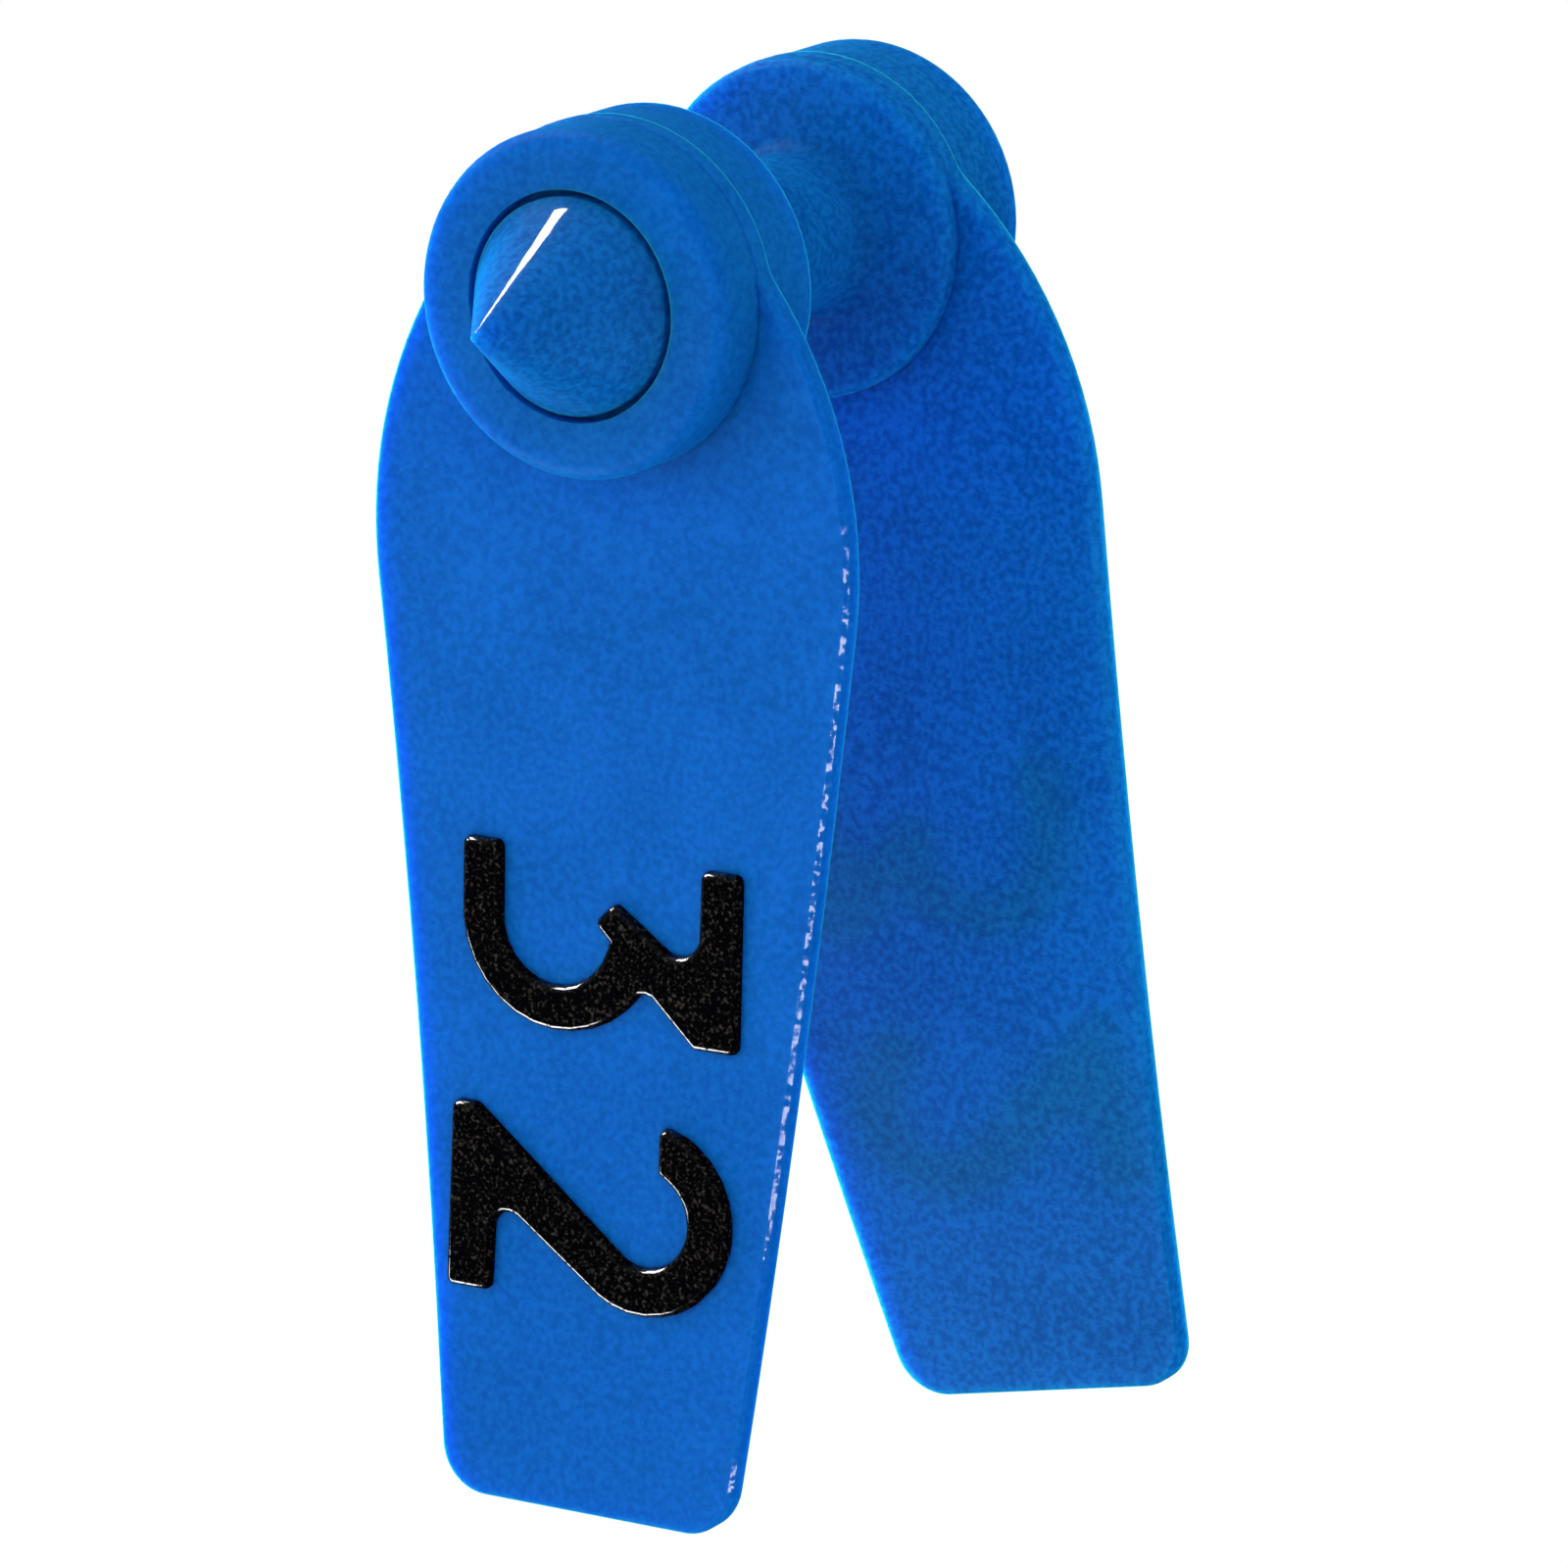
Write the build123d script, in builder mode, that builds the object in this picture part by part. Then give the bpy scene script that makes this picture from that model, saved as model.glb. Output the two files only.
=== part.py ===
from build123d import *
import os
from math import acos, asin, atan2, cos, degrees, hypot, radians, sin, sqrt, tan

os.makedirs("parts", exist_ok=True)

# Two-piece livestock ear tag, assembled. All sizes in mm.
# The stud lies along Y, the front (female) blade hangs straight down -Z,
# the origin is on the stud axis, midway between the two blades.

# Blade sheet and the space left for the ear
ear_space = 11.88
sheet = 0.9

# Blade outline, the same for both blades
head_radius = 5.68
neck_radius = 1.5
shoulder_radius = 15.5
half_width = 8.82
widest_drop = 8.37
shoulder_tuck_angle = 4.0
taper_angle = 6.45
blade_drop = 40.1
corner_radius = 1.7
edge_bevel = 0.14

# Gentle outward bow of the lower blade
bow_start = 8.0
bow_radius = 279.0

# Swing of the rear (male) blade about the stud, lower end towards +X
swing = 11.7

# Round hubs through the heads, the same radius on both sides of the sheet
hub_radius = 5.62
hub_rim = 0.5
hub_bevel = 0.2
drum_height = 2.21
collar_height = 2.54
disc_height = 0.74
boss_height = 3.34

# Stud with its conical locking head
stud_radius = 2.6
stud_flare = 0.7
head_rim_radius = 3.5
cone_height = 5.6
cone_tip_radius = 0.12
head_seat_depth = 0.85

# Clearances between stud and socket
throat_clearance = 0.3
head_clearance = 0.23
lip_clearance = 0.3

# Blind bore up the stud for the applicator pin
pin_bore_radius = 1.25
pin_bore_depth = 15.0
pin_bore_point = 0.7

# Raised figures, read from the boss downwards; depths are measured from a figure's own top
figure_top = 18.25
figure_gap = 2.9
figure_raise = 0.36
figure_corner = 0.28

# Figure three: straight bar, slanting stroke, open bowl with its arm
three_height = 5.9
three_right = 5.18
three_bar = 1.48
three_foot_width = 1.63
three_bowl_left = 1.56
three_bowl_depth = 2.32
three_bowl_outer = 3.68
three_notch_angle = 29.0
three_hollow_left = 1.72
three_hollow_depth = 2.47
three_hollow = 2.06
three_hollow_angle = 8.7
three_crook_depth = 3.73
three_tip_right = 0.5
three_tip_depth = 1.5
three_tip_run = 0.77
three_tip_fall = 0.72
three_crook = 0.85
three_notch = 0.5

# Figure two: straight foot bar, slanting stroke, hooked bowl
two_height = 6.17
two_left = 5.45
two_bar = 1.68
two_heel = 0.9
two_bowl_right = 1.93
two_bowl_depth = 2.95
two_bowl_outer = 3.2
two_bowl_inner = 1.6
two_hook = 0.45
two_slant_angle = 34.6
two_arch = 0.62

# Sizes that follow from those above
female_inner = -ear_space / 2
female_outer = female_inner - sheet
collar_face = female_inner + collar_height
drum_face = female_outer - drum_height
seat_face = drum_face + head_seat_depth
male_inner = ear_space / 2
male_outer = male_inner + sheet
disc_face = male_inner - disc_height
back_face = male_outer + boss_height
lip_face = seat_face - lip_clearance
cone_point = drum_face - cone_height
throat_radius = stud_radius + throat_clearance
socket_radius = head_rim_radius + head_clearance
reach = 2 * ear_space

# Blade outline: head circle, shoulder arcs, straight tapers, foot
shoulder_x = half_width - shoulder_radius
shoulder_y = -widest_drop
taper_x = shoulder_x + shoulder_radius * cos(radians(taper_angle))
taper_y = shoulder_y - shoulder_radius * sin(radians(taper_angle))
foot_y = -blade_drop
foot_x = taper_x - (taper_y - foot_y) * tan(radians(taper_angle))

# The necks, where the shoulder arcs cross the head circle before they tuck into it
shoulder_reach = hypot(shoulder_x, shoulder_y)
neck_along = (head_radius**2 - shoulder_radius**2 + shoulder_reach**2) / (2 * shoulder_reach)
neck_across = sqrt(head_radius**2 - neck_along**2)
neck_x = (neck_along * shoulder_x - neck_across * shoulder_y) / shoulder_reach
neck_y = (neck_along * shoulder_y + neck_across * shoulder_x) / shoulder_reach
shoulder_turn = degrees(atan2(neck_y - shoulder_y, neck_x - shoulder_x)) + shoulder_tuck_angle
shoulder_sweep = shoulder_turn + taper_angle

with BuildSketch() as blade_outline:
    Circle(head_radius)
    with BuildSketch(mode=Mode.ADD) as blade_lower:
        with BuildLine() as lower_edge:
            right_shoulder = CenterArc(
                (shoulder_x, shoulder_y), shoulder_radius, shoulder_turn, -shoulder_sweep
            )
            right_taper = Line(right_shoulder @ 1, (foot_x, foot_y))
            foot_edge = Line(right_taper @ 1, (-foot_x, foot_y))
            left_taper = Line(foot_edge @ 1, (-taper_x, taper_y))
            left_shoulder = CenterArc(
                (-shoulder_x, shoulder_y), shoulder_radius, 180 + taper_angle, -shoulder_sweep
            )
            Line(left_shoulder @ 1, right_shoulder @ 0)
        make_face()
        fillet(blade_lower.vertices().group_by(Axis.Y)[0], corner_radius)
    for side in (-neck_x, neck_x):
        fillet(blade_outline.vertices().sort_by_distance((side, neck_y))[0], neck_radius)

# Side view of the bowed sheet: plumb at the head, bowed outwards below
bow_centre = female_inner - bow_radius
bow_sweep = degrees(asin((blade_drop - bow_start + corner_radius) / (bow_radius - sheet - figure_raise)))

with BuildSketch() as sheet_side:
    with BuildLine() as sheet_edge:
        back_line = Line((female_inner, head_radius), (female_inner, -bow_start))
        back_bow = CenterArc((bow_centre, -bow_start), bow_radius, 0, -bow_sweep)
        front_bow = CenterArc((bow_centre, -bow_start), bow_radius - sheet, 0, -bow_sweep)
        front_line = Line((female_outer, -bow_start), (female_outer, head_radius))
        Line(back_bow @ 1, front_bow @ 1)
        Line(front_line @ 1, back_line @ 0)
    make_face()

with BuildSketch() as figure_side:
    with BuildLine() as figure_edge:
        lower_bow = CenterArc((bow_centre, -bow_start), bow_radius - sheet, 0, -bow_sweep)
        upper_bow = CenterArc((bow_centre, -bow_start), bow_radius - sheet - figure_raise, 0, -bow_sweep)
        Line(lower_bow @ 0, upper_bow @ 0)
        Line(lower_bow @ 1, upper_bow @ 1)
    make_face()

# Figure three, turned a quarter turn so that it reads down the blade
three_top_y = -figure_top
three_foot_y = three_top_y - three_height
three_bar_inner = three_right - three_bar
three_bowl_at = (-three_bowl_left, three_top_y - three_bowl_depth)
three_hollow_at = (-three_hollow_left, three_top_y - three_hollow_depth)
three_crook_at = (three_bar_inner, three_top_y - three_crook_depth)
three_tip_upper = (three_tip_right, three_top_y - three_tip_depth)
three_tip_lower = (three_tip_right - three_tip_run, three_top_y - three_tip_depth - three_tip_fall)

with BuildSketch() as figure_three:
    with BuildLine() as three_edge:
        bowl_outer = CenterArc(three_bowl_at, three_bowl_outer, 180, 180 - three_notch_angle)
        bowl_inner = CenterArc(three_hollow_at, three_hollow, 180, 180 - three_hollow_angle)
        Polyline(
            bowl_outer @ 0,
            (-three_bowl_left - three_bowl_outer, three_top_y),
            (-three_hollow_left - three_hollow, three_top_y),
            bowl_inner @ 0,
        )
        Polyline(
            bowl_outer @ 1,
            (three_right - three_foot_width, three_foot_y),
            (three_right, three_foot_y),
            (three_right, three_top_y),
            (three_bar_inner, three_top_y),
            three_crook_at,
            three_tip_upper,
            three_tip_lower,
            bowl_inner @ 1,
        )
    make_face()
    three_notch_at = bowl_outer @ 1
    fillet(figure_three.vertices().group_by(Axis.Y)[-1], figure_corner)
    for side in (three_right - three_foot_width, three_right):
        fillet(figure_three.vertices().sort_by_distance((side, three_foot_y))[0], figure_corner)
    for corner in (three_tip_upper, three_tip_lower):
        fillet(figure_three.vertices().sort_by_distance(corner)[0], figure_corner)
    fillet(figure_three.vertices().sort_by_distance(three_crook_at)[0], three_crook)
    fillet(figure_three.vertices().sort_by_distance(three_notch_at)[0], three_notch)

# Figure two, turned the same way, a gap below figure three
two_top_y = three_foot_y - figure_gap
two_end_y = two_top_y - two_height
two_bar_inner = two_bar - two_left
two_bowl_at = (two_bowl_right, two_top_y - two_bowl_depth)
two_hook_outer = degrees(acos(two_hook / two_bowl_outer))
two_hook_inner = degrees(acos(two_hook / two_bowl_inner))
two_slant_turn = 90 + two_slant_angle
two_under_x = two_bowl_right - two_bowl_outer * sin(radians(two_slant_angle))
two_under_y = two_top_y - two_bowl_depth - two_bowl_outer * cos(radians(two_slant_angle))
two_arch_y = two_under_y + (two_under_x - two_bar_inner) * tan(radians(two_slant_angle))

with BuildSketch() as figure_two:
    with BuildLine() as two_edge:
        hook_outer = CenterArc(two_bowl_at, two_bowl_outer, -two_slant_turn, two_slant_turn + two_hook_outer)
        hook_inner = CenterArc(two_bowl_at, two_bowl_inner, -two_slant_turn, two_slant_turn + two_hook_inner)
        Line(hook_outer @ 1, hook_inner @ 1)
        Polyline(
            hook_inner @ 0,
            (two_heel - two_left, two_top_y),
            (-two_left, two_top_y),
            (-two_left, two_end_y),
            (two_bar_inner, two_end_y),
            (two_bar_inner, two_arch_y),
            hook_outer @ 0,
        )
    make_face()
    for corner in (hook_outer @ 1, hook_inner @ 1):
        fillet(figure_two.vertices().sort_by_distance(corner)[0], figure_corner)
    for corner in ((two_heel - two_left, two_top_y), (-two_left, two_top_y)):
        fillet(figure_two.vertices().sort_by_distance(corner)[0], figure_corner)
    for corner in ((-two_left, two_end_y), (two_bar_inner, two_end_y)):
        fillet(figure_two.vertices().sort_by_distance(corner)[0], figure_corner)
    fillet(figure_two.vertices().sort_by_distance((two_bar_inner, two_arch_y))[0], two_arch)

# The bowed blade, edges bevelled, upright in front of the ear space
with BuildPart() as blade:
    extrude(Plane.XZ * blade_outline.sketch, amount=reach, both=True)
    extrude(Plane.YZ * sheet_side.sketch, amount=reach, both=True, mode=Mode.INTERSECT)
    broad_faces = blade.faces().sort_by(SortBy.AREA)[-4:]
    level_edges = broad_faces.edges().filter_by(Axis.X)
    seams = level_edges.filter_by(lambda e: abs(e.center().Z + bow_start) < sheet)
    chamfer(broad_faces.edges() - seams, edge_bevel)

# The raised figures on the blade's outer face
with BuildPart() as raised_three:
    extrude(Plane.XZ * figure_three.sketch, amount=reach, both=True)
    extrude(Plane.YZ * figure_side.sketch, amount=reach, both=True, mode=Mode.INTERSECT)

with BuildPart() as raised_two:
    extrude(Plane.XZ * figure_two.sketch, amount=reach, both=True)
    extrude(Plane.YZ * figure_side.sketch, amount=reach, both=True, mode=Mode.INTERSECT)

# The rear piece is the same blade turned to face the other way and swung about the stud
swung = Rotation(0, -swing, 0) * Rotation(0, 0, 180)

# Front piece: blade, and a hub with the socket: drum in front, collar on the ear side
with BuildPart() as female_tag:
    add(blade.part)
    with BuildSketch() as female_hub:
        with Locations((0, drum_face)):
            Rectangle(hub_radius, collar_face - drum_face, align=(Align.MIN, Align.MIN))
        chamfer(female_hub.vertices().group_by(Axis.Y)[-1].sort_by(Axis.X)[-1], hub_bevel)
        fillet(female_hub.vertices().group_by(Axis.Y)[0].sort_by(Axis.X)[-1], hub_rim)
    revolve(axis=Axis.Y)
    with BuildSketch() as socket_half:
        with Locations((0, collar_face)):
            Rectangle(throat_radius, collar_face - drum_face, align=(Align.MIN, Align.MAX))
        with Locations((0, drum_face)):
            Rectangle(socket_radius, head_seat_depth, align=(Align.MIN, Align.MIN))
    revolve(axis=Axis.Y, mode=Mode.SUBTRACT)

# Rear piece: blade, and a hub with boss behind and disc on the ear side, stud with the locking cone
with BuildPart() as male_tag:
    add(swung * blade.part)
    with BuildSketch() as male_hub:
        with BuildLine() as hub_edge:
            Polyline(
                (0, back_face),
                (hub_radius, back_face),
                (hub_radius, disc_face),
                (stud_radius, disc_face),
                (stud_radius, lip_face),
                (head_rim_radius, lip_face),
                (head_rim_radius, drum_face),
                (cone_tip_radius, cone_point),
                (0, cone_point),
                close=True,
            )
        make_face()
        fillet(male_hub.vertices().sort_by_distance((hub_radius, back_face))[0], hub_rim)
        chamfer(male_hub.vertices().sort_by_distance((hub_radius, disc_face))[0], hub_bevel)
        fillet(male_hub.vertices().sort_by_distance((stud_radius, disc_face))[0], stud_flare)
    revolve(axis=Axis.Y)
    with BuildSketch() as pin_bore:
        with BuildLine() as pin_edge:
            Polyline(
                (0, back_face),
                (pin_bore_radius, back_face),
                (pin_bore_radius, back_face - pin_bore_depth),
                (0, back_face - pin_bore_depth - pin_bore_point),
                close=True,
            )
        make_face()
    revolve(axis=Axis.Y, mode=Mode.SUBTRACT)

# Black figures of each piece
with BuildPart() as female_three:
    add(raised_three.part)

with BuildPart() as female_two:
    add(raised_two.part)

with BuildPart() as male_three:
    add(swung * raised_three.part)

with BuildPart() as male_two:
    add(swung * raised_two.part)

female_tag.part.label = "female_tag"
male_tag.part.label = "male_tag"
female_three.part.label = "female_three"
female_two.part.label = "female_two"
male_three.part.label = "male_three"
male_two.part.label = "male_two"

export_step(female_tag.part, "parts/female_tag.step")
export_step(male_tag.part, "parts/male_tag.step")
export_step(female_three.part, "parts/female_three.step")
export_step(female_two.part, "parts/female_two.step")
export_step(male_three.part, "parts/male_three.step")
export_step(male_two.part, "parts/male_two.step")
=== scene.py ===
"""Livestock ear tag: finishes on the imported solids, the studio round them and the camera."""

import logging
import math
from collections.abc import Iterable
from dataclasses import dataclass
from enum import Enum
from typing import Any, Union

import bpy
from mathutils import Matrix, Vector


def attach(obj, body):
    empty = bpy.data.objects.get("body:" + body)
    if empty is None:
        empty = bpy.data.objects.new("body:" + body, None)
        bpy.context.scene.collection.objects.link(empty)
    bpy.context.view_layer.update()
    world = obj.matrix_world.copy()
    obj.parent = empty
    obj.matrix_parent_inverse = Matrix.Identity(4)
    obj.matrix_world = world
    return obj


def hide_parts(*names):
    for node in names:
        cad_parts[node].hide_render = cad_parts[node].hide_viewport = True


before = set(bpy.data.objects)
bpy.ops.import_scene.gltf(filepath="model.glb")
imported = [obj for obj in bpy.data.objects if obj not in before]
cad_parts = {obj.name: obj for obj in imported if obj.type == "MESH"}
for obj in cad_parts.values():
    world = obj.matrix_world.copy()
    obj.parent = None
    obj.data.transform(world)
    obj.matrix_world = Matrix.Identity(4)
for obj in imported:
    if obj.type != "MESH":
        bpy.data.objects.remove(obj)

log = logging.getLogger("ear_tag")

MM = 0.001
PHOTO_PIXELS = 1600
SENSOR_MM = 36.0
NOISE_ROUGHNESS = 0.55

# The middle of a noise, and of a blend of two colours
MIDDLE = 0.5

# Places of the colour sockets on a Mix node, whose names stand for other sockets too
MIX_FACTOR, MIX_FIRST, MIX_SECOND, MIX_RESULT = 0, 6, 7, 2

# Places of the sockets on a Mix Shader node, two of which have one name
SHADER_FACTOR, SHADER_FIRST, SHADER_SECOND = 0, 1, 2

Rgb = tuple[float, float, float]
Point = tuple[float, float, float]
Span = tuple[float, float]
Number = Union["Signal", float]
Colour = Union[Rgb, bpy.types.NodeSocket]


class TagBody(Enum):
    """The two mouldings, which turn against each other on the stud."""

    FRONT = "female"
    REAR = "male"


class LampUse(Enum):
    """Whether a lamp lights surfaces, and whether it shines in their gloss."""

    LIGHT = (True, False)
    SHINE = (False, True)


class Surface(Enum):
    """Node names of the shaders that a material can end in."""

    PRINCIPLED = "ShaderNodeBsdfPrincipled"
    DIFFUSE = "ShaderNodeBsdfDiffuse"
    EMISSION = "ShaderNodeEmission"


class Signal:
    """One number that changes over a surface. Operators on it add Math nodes."""

    def __init__(self, graph: "NodeGraph", socket: bpy.types.NodeSocket) -> None:
        """Keeps the graph that the number lives in and the socket that gives it."""
        self.graph = graph
        self.socket = socket

    def math(self, operation: str, *terms: Number) -> "Signal":
        """Adds a Math node.

        Args:
            operation: the Math node's operation.
            terms: its inputs in order, signals or plain numbers.

        Returns:
            The node's result.
        """
        node = self.graph.node("ShaderNodeMath", {"operation": operation}, dict(enumerate(terms)))
        return Signal(self.graph, node.outputs[0])

    def __add__(self, other: Number) -> "Signal":
        """Sum."""
        return self.math("ADD", self, other)

    def __radd__(self, other: Number) -> "Signal":
        """Sum with a plain number first."""
        return self.math("ADD", other, self)

    def __sub__(self, other: Number) -> "Signal":
        """Difference."""
        return self.math("SUBTRACT", self, other)

    def __rsub__(self, other: Number) -> "Signal":
        """Difference with a plain number first."""
        return self.math("SUBTRACT", other, self)

    def __mul__(self, other: Number) -> "Signal":
        """Product."""
        return self.math("MULTIPLY", self, other)

    def __rmul__(self, other: Number) -> "Signal":
        """Product with a plain number first."""
        return self.math("MULTIPLY", other, self)

    def absolute(self) -> "Signal":
        """Size without its sign."""
        return self.math("ABSOLUTE", self)

    def ramp(self, start: float, end: float) -> "Signal":
        """A smooth step.

        Args:
            start: value where the step is 0.
            end: value where the step is 1; it may lie below start.

        Returns:
            0 before start, 1 past end, and a smooth rise between them.
        """
        low, high = min(start, end), max(start, end)
        node = self.graph.node(
            "ShaderNodeMapRange",
            {"interpolation_type": "SMOOTHSTEP", "clamp": True},
            {"Value": self, "From Min": low, "From Max": high, "To Min": 0.0, "To Max": 1.0},
        )
        rise = Signal(self.graph, node.outputs["Result"])
        return rise if end > start else 1.0 - rise


class NodeGraph:
    """A node tree that is filled from code."""

    def __init__(self, tree: bpy.types.NodeTree) -> None:
        """Empties the tree and keeps it."""
        tree.nodes.clear()
        self.tree = tree

    def node(
        self, kind: str, settings: dict[str, Any], values: dict[Union[str, int], Any]
    ) -> bpy.types.Node:
        """Adds any node.

        Args:
            kind: the node's type name.
            settings: its properties, set before its sockets.
            values: socket name or index to a signal, a socket or a plain value.

        Returns:
            The new node.
        """
        made = self.tree.nodes.new(kind)
        for name, setting in settings.items():
            setattr(made, name, setting)
        for key, value in values.items():
            socket = made.inputs[key]
            if isinstance(value, Signal):
                self.tree.links.new(value.socket, socket)
            elif isinstance(value, bpy.types.NodeSocket):
                self.tree.links.new(value, socket)
            else:
                socket.default_value = value
        return made

    def object_place(self) -> bpy.types.NodeSocket:
        """The point's place in the object's own frame, in metres."""
        return self.node("ShaderNodeTexCoord", {}, {}).outputs["Object"]

    def object_normal(self) -> bpy.types.NodeSocket:
        """The surface's normal in the object's own frame."""
        return self.node("ShaderNodeTexCoord", {}, {}).outputs["Normal"]

    def axes(self, vector: bpy.types.NodeSocket) -> tuple[Signal, Signal, Signal]:
        """Splits a vector.

        Args:
            vector: the socket that gives it.

        Returns:
            Its X, Y and Z as signals.
        """
        parts = self.node("ShaderNodeSeparateXYZ", {}, {"Vector": vector}).outputs
        return Signal(self, parts[0]), Signal(self, parts[1]), Signal(self, parts[2])

    def noise(self, place: bpy.types.NodeSocket, grain_mm: float, detail: float) -> Signal:
        """Cloudy noise.

        Args:
            place: where it is read.
            grain_mm: size of its patches in millimetres.
            detail: how many finer layers it has.

        Returns:
            A number from 0 to 1, about 0.5 on average.
        """
        made = self.node(
            "ShaderNodeTexNoise",
            {"noise_dimensions": "3D"},
            {
                "Vector": place,
                "Scale": 1.0 / (grain_mm * MM),
                "Detail": detail,
                "Roughness": NOISE_ROUGHNESS,
            },
        )
        return Signal(self, made.outputs[0])

    def blend(self, factor: Number, first: Colour, second: Colour) -> bpy.types.NodeSocket:
        """Mixes two colours.

        Args:
            factor: 0 gives the first, 1 the second.
            first: a colour or a socket that gives one.
            second: a colour or a socket that gives one.

        Returns:
            The mixed colour's socket.
        """
        mixed = self.node(
            "ShaderNodeMix",
            {"data_type": "RGBA", "blend_type": "MIX", "clamp_factor": True},
            {
                MIX_FACTOR: factor,
                MIX_FIRST: self.with_alpha(first),
                MIX_SECOND: self.with_alpha(second),
            },
        )
        return mixed.outputs[MIX_RESULT]

    @staticmethod
    def with_alpha(value: Colour) -> Any:
        """Gives a plain colour its alpha and passes a socket on."""
        return value if isinstance(value, bpy.types.NodeSocket) else (*value, 1.0)

    def relief(self, height: Signal, strength: float, depth_mm: float) -> bpy.types.NodeSocket:
        """A Bump node.

        Args:
            height: the relief's height, from 0 to 1.
            strength: how much of it shows.
            depth_mm: what a height of 1 stands for.

        Returns:
            The bent normal.
        """
        values = {"Height": height, "Strength": strength, "Distance": depth_mm * MM}
        return self.node("ShaderNodeBump", {}, values).outputs["Normal"]

    def close(self, shader: bpy.types.NodeSocket) -> None:
        """Links the finished shader to the material's output."""
        self.node("ShaderNodeOutputMaterial", {}, {"Surface": shader})


@dataclass(frozen=True)
class BluePlastic:
    """Satin blue plastic that light enters, polished on the cone and along the blade's edges; the
    blade below the hub carries painted shade, a darker blue than the hub.

    A field in _mm is in millimetres, and a span holds the start and the end of a smooth step.
    """

    name: str
    grain: float
    edge_gloss: float
    deep: Rgb
    pale: Rgb
    # Blues of the blade below the hub: painted shade, darker than the hub's deep and pale blues
    blade_shade_deep: Rgb
    blade_shade_pale: Rgb
    scatter_mm: float
    scatter_reach: Rgb = (0.3, 0.5, 1.0)
    scatter_weight: float = 1.0
    cloud_mm: float = 5.0
    cloud_detail: float = 2.0
    cloud_share: float = 0.3
    mottle_mm: float = 0.24
    mottle_detail: float = 3.0
    patch_span: Span = (0.3, 0.7)
    roughness: float = 0.5
    roughness_swing: float = 0.12
    specular: float = 0.01
    relief_mm: float = 0.03
    relief_strength: float = 0.25
    hub_mm: float = -2.0
    blade_mm: float = -10.5
    cone_start_mm: float = -9.1
    cone_start_fade_mm: float = 0.1
    cone_end_mm: float = -14.62
    cone_end_fade_mm: float = 0.02
    cone_gloss: float = 0.35
    bevel_span: Span = (0.45, 0.6)
    worn_mm: float = 0.24
    worn_detail: float = 1.0
    worn_span: Span = (0.48, 0.6)
    gloss_roughness: float = 0.06

    def make(self) -> bpy.types.Material:
        """Builds the material.

        Returns:
            The material, for one moulding.
        """
        material = bpy.data.materials.new(self.name)
        material.use_nodes = True
        graph = NodeGraph(material.node_tree)
        place = graph.object_place()
        cloud = graph.noise(place, self.cloud_mm, self.cloud_detail)
        mottle = graph.noise(place, self.mottle_mm, self.mottle_detail)
        clouds = self.cloud_share * (cloud.ramp(*self.patch_span) - MIDDLE)
        specks = self.grain * (mottle.ramp(*self.patch_span) - MIDDLE)
        paleness = MIDDLE + (clouds + specks)
        hub_blue = graph.blend(paleness, self.deep, self.pale)
        # The blade below the hub takes the darker blues: painted shade
        blade_shade_blue = graph.blend(paleness, self.blade_shade_deep, self.blade_shade_pale)
        blade = self.below_hub(graph, place)
        shader = graph.node(
            Surface.PRINCIPLED.value,
            {"subsurface_method": "RANDOM_WALK"},
            {
                "Base Color": graph.blend(blade, hub_blue, blade_shade_blue),
                "Roughness": self.roughness + self.roughness_swing * (mottle - MIDDLE),
                "Specular IOR Level": self.specular,
                "Subsurface Weight": self.scatter_weight,
                "Subsurface Radius": self.scatter_reach,
                "Subsurface Scale": self.scatter_mm * MM,
                "Coat Weight": self.gloss(graph, place, blade),
                "Coat Roughness": self.gloss_roughness,
                "Normal": graph.relief(mottle, self.relief_strength, self.relief_mm),
            },
        )
        graph.close(shader.outputs[0])
        return material

    def below_hub(self, graph: NodeGraph, place: bpy.types.NodeSocket) -> Signal:
        """Where the blade is clear of the round hub, which takes the painted shade of the darker
        blade blues and the edge gloss.

        Args:
            graph: the material's tree.
            place: the point's place.

        Returns:
            1 on the blade below the hub, 0 at the hub's upper half, and a slow rise between them.
        """
        _, _, height = graph.axes(place)
        return height.ramp(self.hub_mm * MM, self.blade_mm * MM)

    def gloss(self, graph: NodeGraph, place: bpy.types.NodeSocket, blade: Signal) -> Signal:
        """Where the plastic is polished.

        Args:
            graph: the material's tree.
            place: the point's place.
            blade: where the blade is clear of the hub.

        Returns:
            The coat on the cone and on the bevels down the blade's right side, 0 elsewhere.
        """
        _, depth, _ = graph.axes(place)
        start, end = self.cone_start_mm * MM, self.cone_end_mm * MM
        past_start = depth.ramp(start, start - self.cone_start_fade_mm * MM)
        before_end = depth.ramp(end, end + self.cone_end_fade_mm * MM)
        right, facing, _ = graph.axes(graph.object_normal())
        low, high = self.bevel_span
        bevel = right.ramp(low, high) * facing.ramp(-low, -high)
        worn = graph.noise(place, self.worn_mm, self.worn_detail).ramp(*self.worn_span)
        cone_coat = self.cone_gloss * (past_start * before_end)
        return cone_coat + self.edge_gloss * bevel * worn * blade


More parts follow.
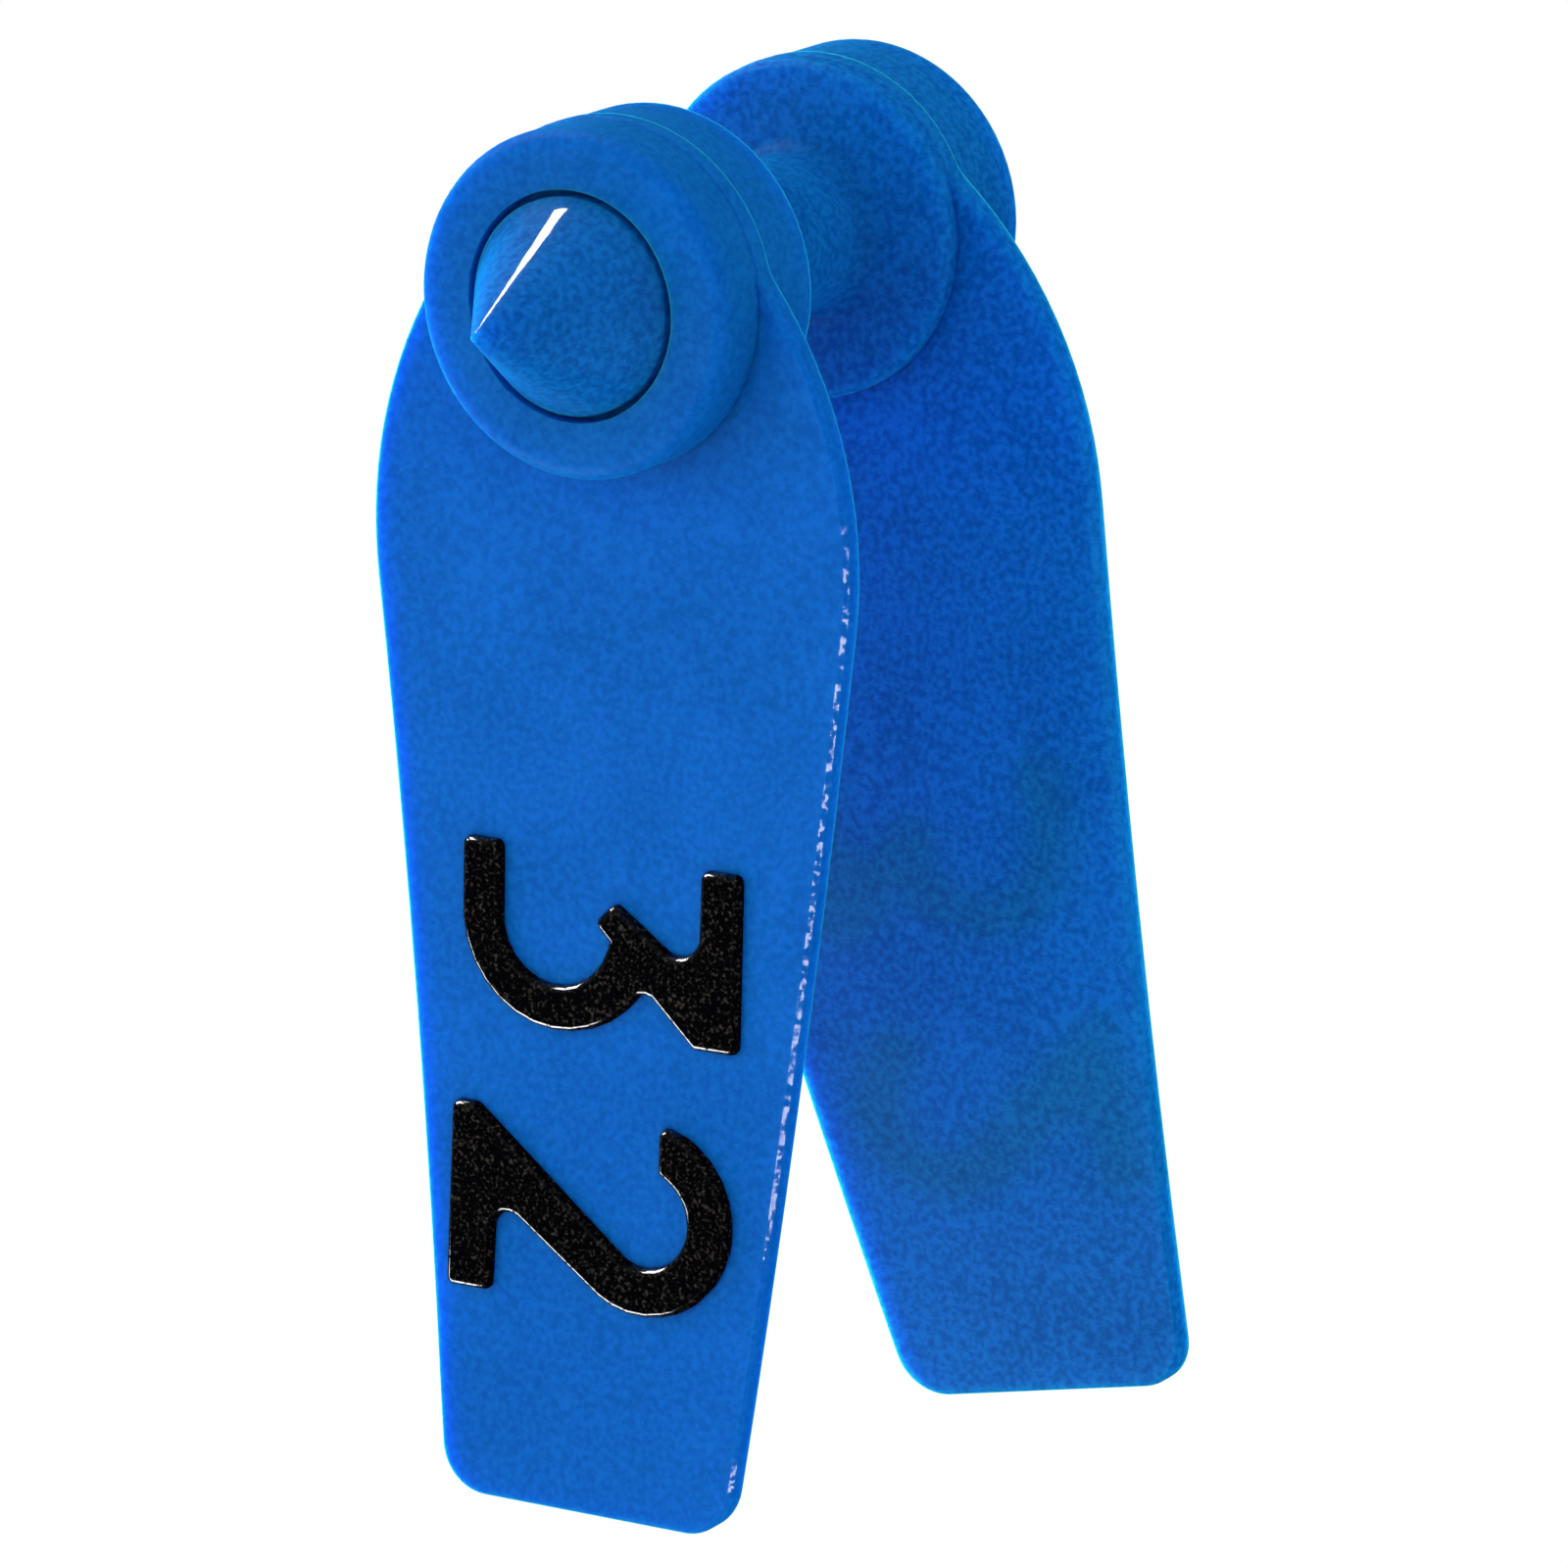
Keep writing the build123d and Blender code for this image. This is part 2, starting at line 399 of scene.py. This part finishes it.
@dataclass(frozen=True)
class BlackFigure:
    """Black figures: dull grainy tops, glossy on the rounded edges that don't face right.

    A field in _mm is in millimetres, and a span holds the start and the end of a smooth step.
    """

    name: str = "black_figures"
    colour: Rgb = (0.0012, 0.0014, 0.002)
    fleck: Rgb = (0.055, 0.046, 0.040)
    fleck_span: Span = (0.52, 0.78)
    grain_mm: float = 0.13
    grain_detail: float = 2.0
    roughness: float = 0.4
    roughness_swing: float = 0.2
    specular: float = 0.0
    relief_mm: float = 0.02
    relief_strength: float = 0.2
    tilt_span: Span = (0.988, 0.965)
    left_span: Span = (0.4, 0.2)
    worn_span: Span = (0.3, 0.5)
    edge_roughness: float = 0.1

    def make(self) -> bpy.types.Material:
        """Builds the material.

        Returns:
            The material, for all the figures.
        """
        material = bpy.data.materials.new(self.name)
        material.use_nodes = True
        graph = NodeGraph(material.node_tree)
        grain = graph.noise(graph.object_place(), self.grain_mm, self.grain_detail)
        right, facing, _ = graph.axes(graph.object_normal())
        rounded = facing.absolute().ramp(*self.tilt_span) * right.ramp(*self.left_span)
        shader = graph.node(
            Surface.PRINCIPLED.value,
            {},
            {
                "Base Color": graph.blend(grain.ramp(*self.fleck_span), self.colour, self.fleck),
                "Roughness": self.roughness + self.roughness_swing * (grain - MIDDLE),
                "Specular IOR Level": self.specular,
                "Coat Weight": rounded * grain.ramp(*self.worn_span),
                "Coat Roughness": self.edge_roughness,
                "Normal": graph.relief(grain, self.relief_strength, self.relief_mm),
            },
        )
        graph.close(shader.outputs[0])
        return material


@dataclass(frozen=True)
class PaleFloor:
    """Plain pale floor that the camera sees as white, with the object's shadow still on it."""

    sheen: float
    name: str = "pale_floor"
    colour: Rgb = (0.85, 0.85, 0.85)
    glow: float = 1.12
    glow_share: float = 0.8

    def make(self) -> bpy.types.Material:
        """Builds the material.

        Returns:
            The floor's material.
        """
        material = bpy.data.materials.new(self.name)
        material.use_nodes = True
        graph = NodeGraph(material.node_tree)
        rays = graph.node("ShaderNodeLightPath", {}, {}).outputs
        seen = Signal(graph, rays["Is Camera Ray"])
        mirrored = Signal(graph, rays["Is Glossy Ray"])
        plain = graph.node(Surface.DIFFUSE.value, {}, {"Color": (*self.colour, 1.0)})
        level = self.glow * seen + self.sheen * mirrored
        white = graph.node(Surface.EMISSION.value, {}, {"Strength": level})
        mixed = graph.node(
            "ShaderNodeMixShader",
            {},
            {
                SHADER_FACTOR: self.glow_share * seen + mirrored,
                SHADER_FIRST: plain.outputs[0],
                SHADER_SECOND: white.outputs[0],
            },
        )
        graph.close(mixed.outputs[0])
        return material


@dataclass
class RaisedFigure:
    """One black figure: the solid's outline with its upper edges rounded."""

    node: str
    body: TagBody
    slot: str = "black_figures"
    weld_mm: float = 0.12
    flat_angle: float = math.radians(9.0)
    top_facing: float = 0.9
    round_mm: float = 0.25
    round_steps: int = 5
    round_profile: float = 0.5
    smooth_angle: float = math.radians(40.0)

    def build(self, black: bpy.types.Material) -> bpy.types.Object:
        """Models the figure over its solid.

        Args:
            black: its finish.

        Returns:
            The figure, riding on its piece in place of the solid.
        """
        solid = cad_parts[self.node]
        figure = bpy.data.objects.new(f"{self.node}_figure", solid.data.copy())
        bpy.context.scene.collection.objects.link(figure)
        figure.data.materials.clear()
        figure.data.materials.append(black)
        bpy.ops.object.select_all(action="DESELECT")
        figure.select_set(True)
        bpy.context.view_layer.objects.active = figure
        self.clean()
        self.round_top(figure.data)
        bpy.ops.object.shade_smooth_by_angle(angle=self.smooth_angle)
        self.flatten_top(figure)
        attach(figure, self.body.value)
        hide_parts(self.node)
        return figure

    def clean(self) -> None:
        """Joins the solid's loose triangles into whole faces."""
        bpy.ops.object.mode_set(mode="EDIT")
        bpy.ops.mesh.select_all(action="SELECT")
        bpy.ops.mesh.remove_doubles(threshold=self.weld_mm * MM)
        bpy.ops.mesh.dissolve_limited(angle_limit=self.flat_angle)
        bpy.ops.mesh.select_all(action="DESELECT")
        bpy.ops.object.mode_set(mode="OBJECT")

    def round_top(self, mesh: bpy.types.Mesh) -> None:
        """Bevels the outline of the outer face.

        Args:
            mesh: the cleaned figure.
        """
        outward = -1.0 if self.body is TagBody.FRONT else 1.0
        bpy.ops.object.mode_set(mode="EDIT")
        bpy.ops.mesh.select_mode(type="FACE")
        bpy.ops.mesh.select_all(action="DESELECT")
        bpy.ops.object.mode_set(mode="OBJECT")
        for face in mesh.polygons:
            face.select = face.normal.y * outward > self.top_facing
        bpy.ops.object.mode_set(mode="EDIT")
        bpy.ops.mesh.region_to_loop()
        bpy.ops.mesh.bevel(
            offset=self.round_mm * MM,
            segments=self.round_steps,
            profile=self.round_profile,
            clamp_overlap=True,
        )
        bpy.ops.mesh.select_mode(type="VERT")
        bpy.ops.mesh.select_all(action="DESELECT")
        bpy.ops.object.mode_set(mode="OBJECT")

    def flatten_top(self, figure: bpy.types.Object) -> None:
        """Keeps the shading of the large faces even up to the rounding.

        Args:
            figure: the rounded figure, selected and active.
        """
        even = figure.modifiers.new("even_faces", "WEIGHTED_NORMAL")
        even.keep_sharp = True
        bpy.ops.object.modifier_apply(modifier=even.name)


@dataclass
class TagPiece:
    """One moulding of the tag with the black figures on its outer face."""

    body: TagBody
    moulding: str
    figures: tuple[str, str]

    def dress(
        self, plastic: bpy.types.Material, black: bpy.types.Material
    ) -> list[bpy.types.Object]:
        """Gives the moulding its finish and builds its figures.

        Args:
            plastic: finish of the moulding.
            black: finish of the figures.

        Returns:
            The moulding and its figures.
        """
        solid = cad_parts[self.moulding]
        for slot in solid.material_slots:
            slot.material = plastic
        return [solid, *(RaisedFigure(node, self.body).build(black) for node in self.figures)]


@dataclass(frozen=True)
class Lamp:
    """One rectangular lamp, turned towards a point, with its lengths in metres."""

    name: str
    place: Point
    aim: Point
    width: float
    height: float
    watts: float
    use: LampUse

    def hang(self) -> None:
        """Adds the lamp to the scene."""
        data = bpy.data.lights.new(self.name, "AREA")
        data.shape = "RECTANGLE"
        data.size = self.width
        data.size_y = self.height
        data.energy = self.watts
        lamp = bpy.data.objects.new(self.name, data)
        lamp.location = self.place
        way = Vector(self.aim) - Vector(self.place)
        lamp.rotation_euler = way.to_track_quat("-Z", "Y").to_euler()
        lamp.visible_diffuse, lamp.visible_glossy = self.use.value
        bpy.context.scene.collection.objects.link(lamp)


@dataclass
class Studio:
    """Floor, world light, lamps and camera, with lengths in metres."""

    floor_drop: float = 1.3
    floor_side: float = 8.0
    ambient: float = 0.65
    sheen: float = 0.12
    middle: Point = (0.0, 0.0, -0.015)
    cone: Point = (0.0, -0.012, 0.002)
    eye: Point = (148.904 * MM, -250.605 * MM, 58.784 * MM)
    target: Point = (2.528 * MM, 0.0, -17.182 * MM)
    focal_pixels: float = 9411.0
    nearest: float = 0.01
    farthest: float = 50.0

    def build(self) -> None:
        """Sets up everything round the object."""
        self.lay_floor()
        self.light_world()
        for lamp in self.lamps():
            lamp.hang()
        self.set_camera()
        bpy.context.scene.view_settings.view_transform = "Standard"

    def lamps(self) -> tuple[Lamp, ...]:
        """Lists the studio's lamps.

        Returns:
            The lamps, in the order in which they are hung.
        """
        return (
            Lamp(
                name="front_softbox",
                place=(-0.45, -1.10, 0.05),
                aim=self.middle,
                width=3.0,
                height=2.4,
                watts=13.5,
                use=LampUse.LIGHT,
            ),
            Lamp(
                name="left_edge_lamp",
                place=(-0.55, 0.225, -0.06),
                aim=self.middle,
                width=0.25,
                height=0.4,
                watts=8.5,
                use=LampUse.LIGHT,
            ),
            Lamp(
                name="cone_lamp",
                place=(-0.265, 0.085, 0.43),
                aim=self.cone,
                width=0.11,
                height=0.075,
                watts=1.8,
                use=LampUse.SHINE,
            ),
            Lamp(
                name="lower_shine",
                place=(-0.35, -0.32, -0.37),
                aim=self.middle,
                width=0.40,
                height=0.40,
                watts=11.0,
                use=LampUse.SHINE,
            ),
            Lamp(
                name="upper_shine",
                place=(-0.46, -0.12, 0.37),
                aim=self.middle,
                width=0.30,
                height=0.30,
                watts=9.0,
                use=LampUse.SHINE,
            ),
            Lamp(
                name="right_shine",
                place=(0.50, -0.29, -0.17),
                aim=self.middle,
                width=0.08,
                height=0.25,
                watts=2.0,
                use=LampUse.SHINE,
            ),
        )

    def lay_floor(self) -> None:
        """Lays the floor below the hanging tag."""
        bpy.ops.object.select_all(action="DESELECT")
        bpy.ops.mesh.primitive_plane_add(
            size=self.floor_side, location=(0.0, 0.0, -self.floor_drop)
        )
        floor = bpy.context.active_object
        floor.name = "floor"
        floor.data.materials.append(PaleFloor(self.sheen).make())

    def light_world(self) -> None:
        """Even white light from all round, which the camera sees as a white background."""
        world = bpy.data.worlds.new("studio_world")
        world.use_nodes = True
        bpy.context.scene.world = world
        graph = NodeGraph(world.node_tree)
        rays = graph.node("ShaderNodeLightPath", {}, {}).outputs
        seen = Signal(graph, rays["Is Camera Ray"])
        mirrored = Signal(graph, rays["Is Glossy Ray"])
        level = self.ambient + (1.0 - self.ambient) * seen + (self.sheen - self.ambient) * mirrored
        white = (1.0, 1.0, 1.0, 1.0)
        sky = graph.node("ShaderNodeBackground", {}, {"Color": white, "Strength": level})
        graph.node("ShaderNodeOutputWorld", {}, {"Surface": sky.outputs[0]})

    def set_camera(self) -> None:
        """Adds the camera at the photograph's viewing angle."""
        data = bpy.data.cameras.new("camera")
        data.sensor_width = SENSOR_MM
        data.sensor_height = SENSOR_MM
        data.sensor_fit = "HORIZONTAL"
        data.lens = self.focal_pixels / PHOTO_PIXELS * SENSOR_MM
        data.clip_start = self.nearest
        data.clip_end = self.farthest
        camera = bpy.data.objects.new("camera", data)
        camera.location = self.eye
        way = Vector(self.target) - Vector(self.eye)
        camera.rotation_euler = way.to_track_quat("-Z", "Y").to_euler()
        bpy.context.scene.collection.objects.link(camera)
        bpy.context.scene.camera = camera


def main() -> None:
    """Dresses both pieces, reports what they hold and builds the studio."""
    logging.basicConfig(level=logging.INFO)
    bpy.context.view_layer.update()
    smooth_blue = BluePlastic(
        name="blue_plastic_smooth",
        grain=0.6,
        edge_gloss=0.3,
        deep=(0.001, 0.106, 0.42),
        pale=(0.005, 0.172, 0.60),
        # blade blues a little darker than the hub's: painted shade on the front blade
        blade_shade_deep=(0.001, 0.108, 0.41),
        blade_shade_pale=(0.005, 0.172, 0.58),
        scatter_mm=2.0,
    ).make()
    grainy_blue = BluePlastic(
        name="blue_plastic_grainy",
        grain=0.9,
        edge_gloss=0.0,
        deep=(0.001, 0.105, 0.42),
        pale=(0.005, 0.190, 0.62),
        # blade blues much darker than the hub's: painted shade on the rear blade
        blade_shade_deep=(0.001, 0.106, 0.34),
        blade_shade_pale=(0.005, 0.192, 0.51),
        scatter_mm=2.6,
        scatter_reach=(0.3, 0.65, 1.0),
    ).make()
    black = BlackFigure().make()
    front = TagPiece(TagBody.FRONT, "female_tag", ("female_three", "female_two"))
    rear = TagPiece(TagBody.REAR, "male_tag", ("male_three", "male_two"))
    for tag, blue in ((front, smooth_blue), (rear, grainy_blue)):
        for piece in tag.dress(blue, black):
            log.info("%s: %d faces, on %s", piece.name, len(piece.data.polygons), tag.body.value)
    Studio().build()


if __name__ == "__main__":
    main()
